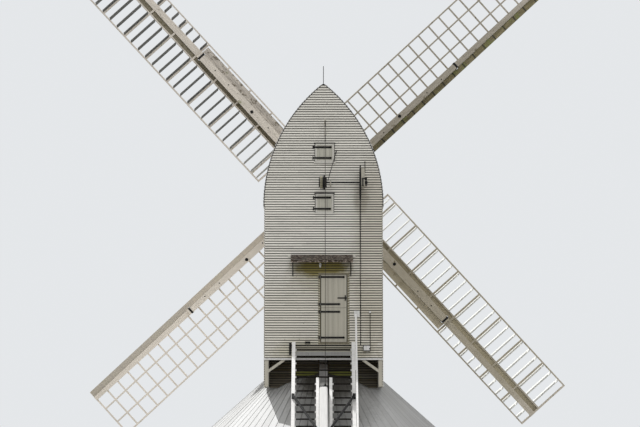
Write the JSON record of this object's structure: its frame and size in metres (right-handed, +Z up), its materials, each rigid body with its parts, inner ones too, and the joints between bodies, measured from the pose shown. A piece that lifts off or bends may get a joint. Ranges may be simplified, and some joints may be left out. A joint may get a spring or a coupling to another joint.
{
  "type": "post windmill",
  "caption": "Weatherboarded post mill on a roundhouse, with a turning body, four sails, tail ladder, tail pole and a stable door.",
  "frame": {"origin": "centre of the roundhouse floor's under face, on the axis of the main post at ground level", "axes": "+Z up; the tail with door and ladder faces -Y, the sails face +Y, +X is to the right seen from the tail"},
  "size_m": [14.8914, 13.4021, 17.5284],
  "materials": {
    "limewash": "limewashed brick",
    "roof_boards": "white painted radial boards, weathered",
    "paving": "brick paving",
    "brick": "red brick",
    "oak": "aged oak",
    "weatherboard": "white painted weatherboard, weathered",
    "floor_boards": "worn floor boards",
    "white_timber": "white painted timber",
    "door_paint": "white painted ledged boards",
    "tread_wood": "bare weathered wood",
    "shingle": "mossy dark shingles",
    "sail_timber": "white painted timber with algae",
    "shutter_paint": "white painted shutters",
    "iron": "black iron, rusted"
  },
  "bodies": {
    "root": {"roundhouse_wall_right": "limewash", "roundhouse_wall_front": "limewash", "roundhouse_wall_left": "limewash", "roundhouse_wall_tail": "limewash", "roundhouse_roof": "roof_boards", "roundhouse_floor": "paving", "roundhouse_door": "door_paint", "piers": "brick", "cross_tree_lower": "oak", "cross_tree_upper": "oak", "quarter_bars": "oak", "main_post": "oak"},
    "buck": {"tail_wall_sill": "weatherboard", "tail_wall_left": "weatherboard", "tail_wall_right": "weatherboard", "tail_gable": "weatherboard", "left_wall": "weatherboard", "right_wall": "weatherboard", "breast_wall": "weatherboard", "roof_left": "roof_boards", "roof_right": "roof_boards", "tail_skirt": "weatherboard", "corner_posts": "white_timber", "spout_floor": "floor_boards", "stone_floor": "floor_boards", "bin_floor": "floor_boards", "sheers_and_girts": "oak", "crown_tree": "oak", "shaft_beams": "oak", "tail_pole": "white_timber", "door_frame": "white_timber", "upper_hatch": "door_paint", "lower_hatch": "door_paint", "porch_hood": "shingle", "hood_brackets": "iron", "striking_gear": "iron", "tail_brackets": "white_timber", "striking_chain": "iron", "front_rope": "iron", "roof_rod": "iron", "ladder_hanger": "iron"},
    "upper_door": {"upper_door": "door_paint"},
    "lower_door": {"lower_door": "door_paint"},
    "ladder": {"ladder_strings": "white_timber", "ladder_treads": "tread_wood", "handrail": "white_timber", "ladder_stays": "iron"},
    "sails": {"windshaft": "oak", "poll_end": "iron", "common_stock": "sail_timber", "spring_stock": "sail_timber", "common_sail_upper": "sail_timber", "common_sail_lower": "sail_timber", "spring_sail_upper": "sail_timber", "spring_sail_lower": "sail_timber", "spring_shutters": "shutter_paint", "common_boards": "sail_timber", "spring_boards": "sail_timber", "stock_straps": "iron"}
  },
  "joints": [
    {"name": "buck_turn", "type": "hinge", "parent": "root", "child": "buck", "pos_m": [0, 0, 6.35], "axis": [0, 0, 1], "continuous": true},
    {"name": "sails_turn", "type": "hinge", "parent": "buck", "child": "sails", "pos_m": [0, 3.15, 10.05501], "axis": [0, 0.9925, 0.1219], "continuous": true},
    {"name": "upper_door_swing", "type": "hinge", "parent": "buck", "child": "upper_door", "pos_m": [-0.093, -2.646, 6.4], "axis": [0, 0, -1], "range_deg": [0, 100]},
    {"name": "lower_door_swing", "type": "hinge", "parent": "buck", "child": "lower_door", "pos_m": [-0.093, -2.646, 5.4], "axis": [0, 0, -1], "range_deg": [0, 100]},
    {"name": "ladder_lift", "type": "hinge", "parent": "buck", "child": "ladder", "pos_m": [0, -2.73, 4.89], "axis": [-1, 0, 0], "range_deg": [0, 6]}
  ]
}
